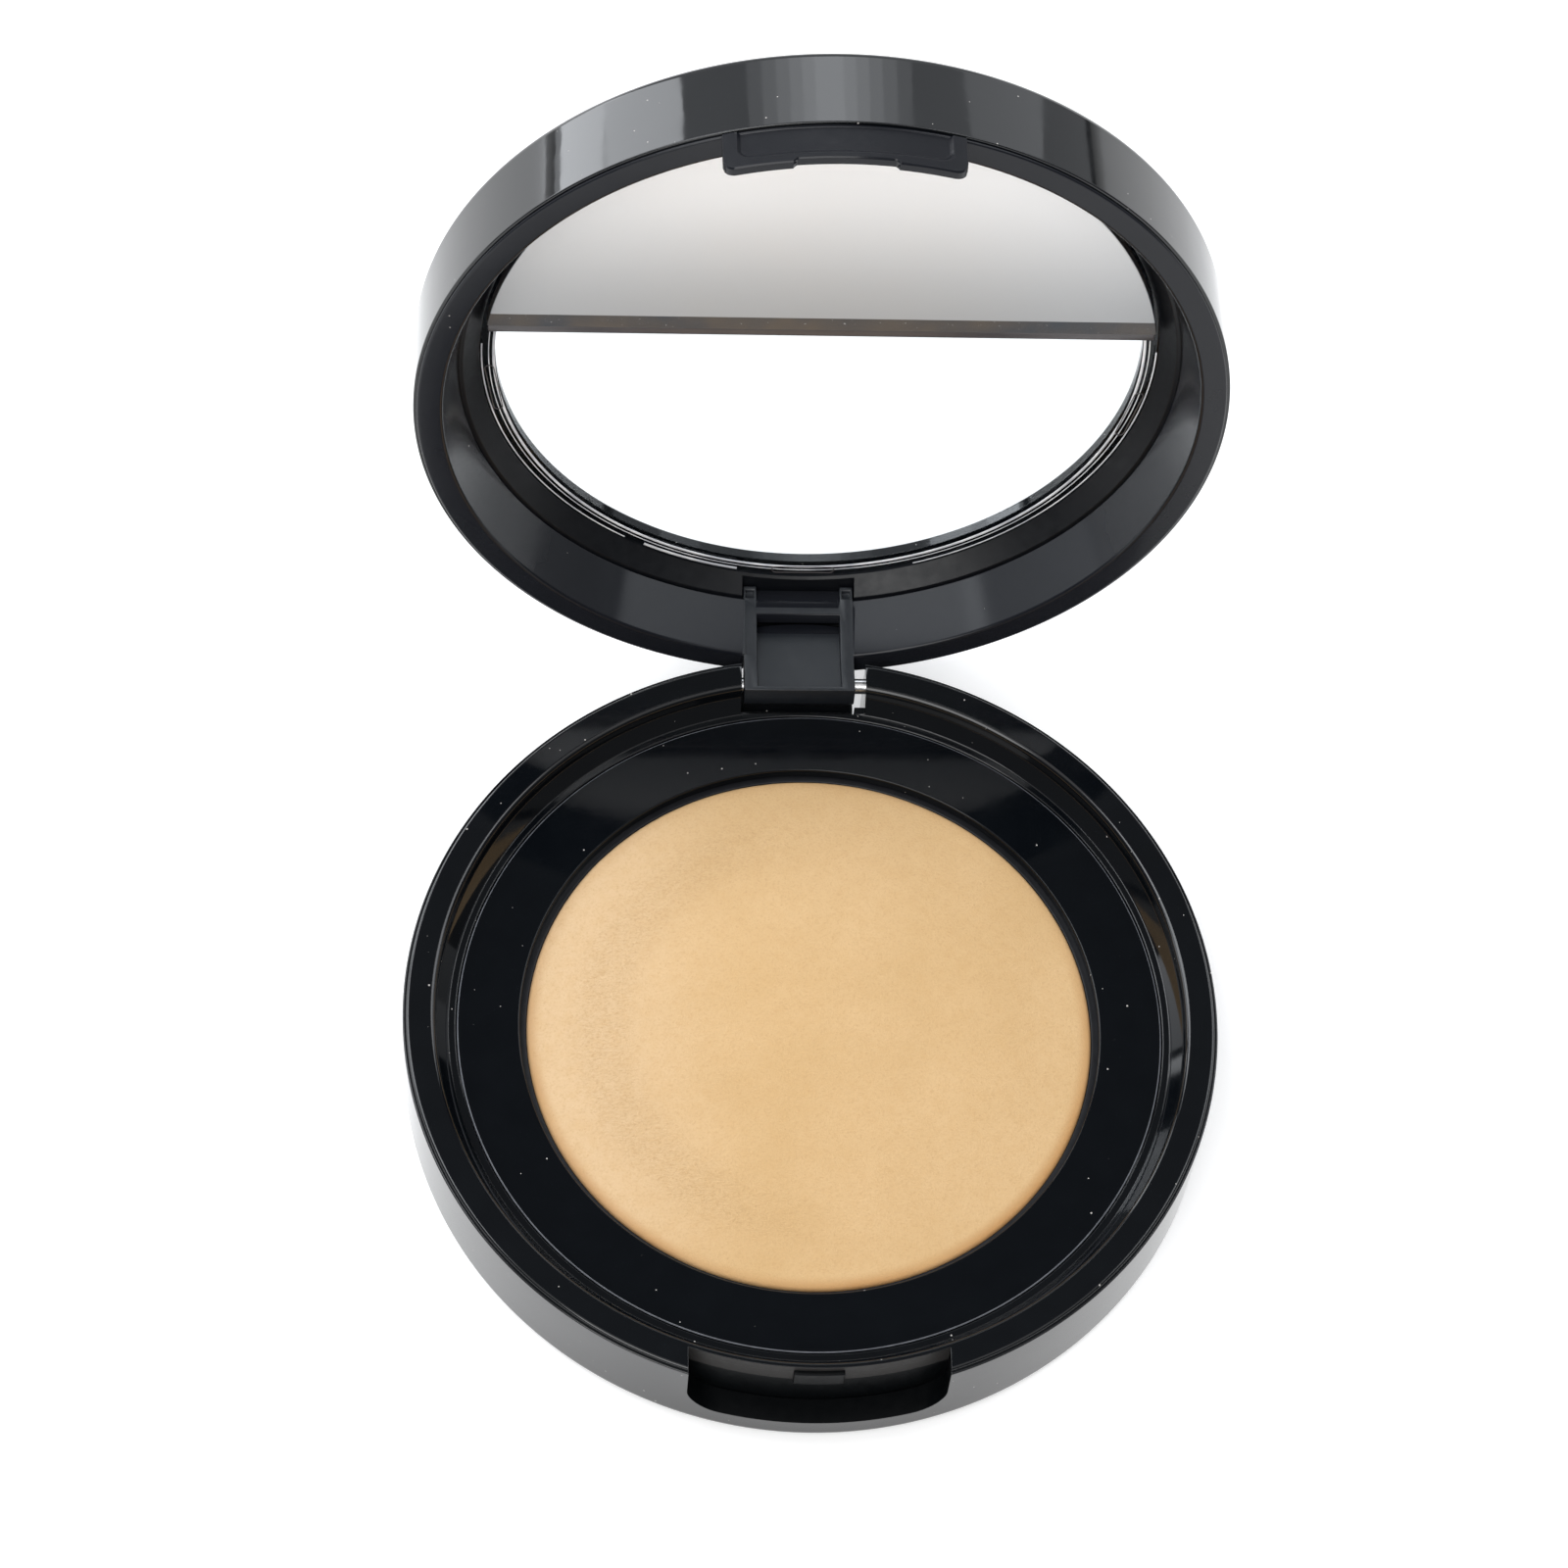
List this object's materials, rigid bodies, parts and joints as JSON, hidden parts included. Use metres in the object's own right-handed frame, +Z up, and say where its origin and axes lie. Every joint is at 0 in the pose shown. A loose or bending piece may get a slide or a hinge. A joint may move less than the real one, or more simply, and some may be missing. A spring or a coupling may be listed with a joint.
{
  "type": "powder compact",
  "caption": "Round gloss plastic powder compact with a hinged deep lid, clear window, half-moon mirror and a domed powder cake in a tray.",
  "frame": {"origin": "centre of the base's underside, on the surface it stands on", "axes": "+Z up, hinge towards +Y, latch and thumb recess towards -Y, +X along the hinge pin; the lid is drawn open at 99 degrees"},
  "size_m": [0.076, 0.097, 0.0814],
  "materials": {
    "black_gloss": "high gloss moulded",
    "pan_plastic": "satin",
    "adhesive": "matt",
    "pressed_powder": "matt baked powder",
    "steel": "drawn wire",
    "clear_plastic": "clear polished",
    "mirror_glass": "silvered glass"
  },
  "bodies": {
    "base": {"base_shell": "black_gloss", "base_frame": "black_gloss", "powder_plate": "black_gloss", "powder_pan": "pan_plastic", "pan_adhesive": "adhesive", "powder_cake": "pressed_powder", "hinge_pin": "steel"},
    "lid": {"lid_shell": "black_gloss", "lid_frame": "black_gloss", "window": "clear_plastic", "mirror_film": "adhesive", "mirror": "mirror_glass"}
  },
  "joints": [
    {"name": "lid_hinge", "type": "hinge", "parent": "base", "child": "lid", "pos_m": [0, 0.0361, 0.0087], "axis": [-1, 0, 0], "range_deg": [-99, 6]}
  ]
}
